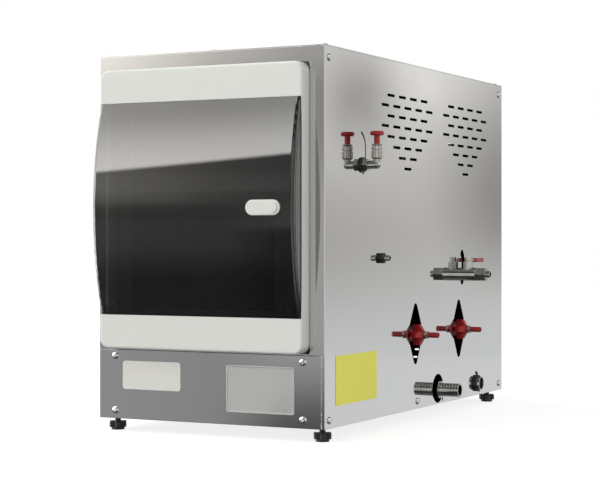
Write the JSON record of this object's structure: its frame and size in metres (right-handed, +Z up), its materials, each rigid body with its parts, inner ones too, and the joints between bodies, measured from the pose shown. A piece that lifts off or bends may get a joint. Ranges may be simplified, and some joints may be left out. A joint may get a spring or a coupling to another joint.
{
  "type": "water still",
  "caption": "Bench water still in a polished steel cabinet with a smoked arched door, drain knobs, ball valve, plugged elbow, hose nozzles and levelling feet.",
  "frame": {"origin": "on the bench, under the middle of the whole still's box", "axes": "+X to the side with the hose fittings, -Y out of the door, +Z up"},
  "size_m": [0.3996, 0.7332, 0.5205],
  "materials": {
    "polished_steel": "polished stainless sheet",
    "brushed_steel": "brushed stainless",
    "screw_steel": "turned stainless",
    "white_cover": "moulded, satin",
    "grey_fascia": "moulded, matt",
    "smoked_clear": "smoked clear plastic, gloss",
    "black_plastic": "moulded, fine grain",
    "clear_glass": "blown borosilicate glass",
    "heater_quartz": "fused quartz",
    "red_plastic": "moulded, satin",
    "float_white": "moulded, matt",
    "silicone": "translucent silicone",
    "dark_electric": "moulded, matt",
    "grey_electric": "moulded, matt",
    "lead_sheath": "silicone sheath",
    "nickel": "nickel plated brass",
    "collet_grey": "moulded, satin",
    "label_white": "printed film, bare",
    "label_yellow": "printed film, bare"
  },
  "bodies": {
    "still": {"back_panel": "polished_steel", "base_tray": "polished_steel", "black_nuts": "black_plastic", "boiler_hoses": "silicone", "cable_gland": "black_plastic", "case_screws": "screw_steel", "cleaning_port_caps": "red_plastic", "contactor": "dark_electric", "cooling_hoses": "silicone", "cover_frame": "white_cover", "cover_screws": "screw_steel", "distillate_hoses": "silicone", "distillate_nozzle": "nickel", "door_catch": "white_cover", "door_hinge_pins": "screw_steel", "drain_hoses": "silicone", "drain_nozzle": "nickel", "elbow_fitting": "nickel", "elbow_washer": "black_plastic", "first_boiler": "clear_glass", "first_condenser": "clear_glass", "first_drain_tap": "red_plastic", "first_heater": "heater_quartz", "foot_nuts": "screw_steel", "front_frame": "polished_steel", "front_label": "label_white", "glass_rack": "brushed_steel", "heater_leads": "lead_sheath", "inlet_valve_body": "nickel", "inner_fascia": "grey_fascia", "left_side_panel": "polished_steel", "level_vessel": "clear_glass", "lower_front_plate": "polished_steel", "name_plate": "brushed_steel", "overflow_nozzle": "nickel", "panel_nuts": "nickel", "right_side_panel": "polished_steel", "second_boiler": "clear_glass", "second_condenser": "clear_glass", "second_drain_tap": "red_plastic", "second_heater": "heater_quartz", "side_label": "label_yellow", "terminal_blocks": "grey_electric", "top_lid": "polished_steel"},
    "door": {"smoked_door": "smoked_clear", "button_housing": "white_cover", "button_spring": "screw_steel"},
    "door_button": {"push_button": "white_cover"},
    "front_left_foot": {"foot_front_left": "black_plastic"},
    "front_right_foot": {"foot_front_right": "black_plastic"},
    "rear_left_foot": {"foot_rear_left": "black_plastic"},
    "rear_right_foot": {"foot_rear_right": "black_plastic"},
    "first_tap_knob": {"first_drain_knob": "red_plastic"},
    "second_tap_knob": {"second_drain_knob": "red_plastic"},
    "inlet_lever": {"inlet_valve_ball": "nickel", "inlet_valve_lever": "nickel", "lever_sleeve": "red_plastic"},
    "elbow_plug": {"red_plug": "red_plastic"},
    "collet": {"elbow_collet": "collet_grey"},
    "float": {"level_float": "float_white"}
  },
  "joints": [
    {"name": "door_hinge", "type": "hinge", "parent": "still", "child": "door", "pos_m": [-0.17825, -0.3364, 0.306], "axis": [0, 0, -1], "range_deg": [0, 100]},
    {"name": "door_button_press", "type": "slide", "parent": "door", "child": "door_button", "axis": [0, 1, 0], "range_m": [0, 0.003], "stiffness_N_per_m": 400, "springref_m": -0.001},
    {"name": "first_tap_turn", "type": "hinge", "parent": "still", "child": "first_tap_knob", "pos_m": [0.14885, -0.0209, 0.1263], "axis": [1, 0, 0], "range_deg": [0, 180]},
    {"name": "second_tap_turn", "type": "hinge", "parent": "still", "child": "second_tap_knob", "pos_m": [0.14885, 0.15, 0.1263], "axis": [1, 0, 0], "range_deg": [0, 180]},
    {"name": "inlet_lever_turn", "type": "hinge", "parent": "still", "child": "inlet_lever", "pos_m": [0.16325, 0.1579, 0.231], "axis": [0, 0, -1], "range_deg": [0, 90]},
    {"name": "elbow_plug_pull", "type": "slide", "parent": "still", "child": "elbow_plug", "axis": [0, 0, 1], "range_m": [0, 0.02]},
    {"name": "collet_press", "type": "slide", "parent": "still", "child": "collet", "axis": [0, 0, -1], "range_m": [0, 0.001], "stiffness_N_per_m": 300, "springref_m": -0.001},
    {"name": "float_rise", "type": "slide", "parent": "still", "child": "float", "axis": [0, 0, 1], "range_m": [0, 0.045]},
    {"name": "front_left_foot_turn", "type": "hinge", "parent": "still", "child": "front_left_foot", "pos_m": [-0.18225, -0.2979, 0.018], "axis": [0, 0, 1], "continuous": true},
    {"name": "front_right_foot_turn", "type": "hinge", "parent": "still", "child": "front_right_foot", "pos_m": [0.13575, -0.2979, 0.018], "axis": [0, 0, 1], "continuous": true},
    {"name": "rear_left_foot_turn", "type": "hinge", "parent": "still", "child": "rear_left_foot", "pos_m": [-0.18225, 0.3126, 0.018], "axis": [0, 0, 1], "continuous": true},
    {"name": "rear_right_foot_turn", "type": "hinge", "parent": "still", "child": "rear_right_foot", "pos_m": [0.13575, 0.3126, 0.018], "axis": [0, 0, 1], "continuous": true}
  ]
}
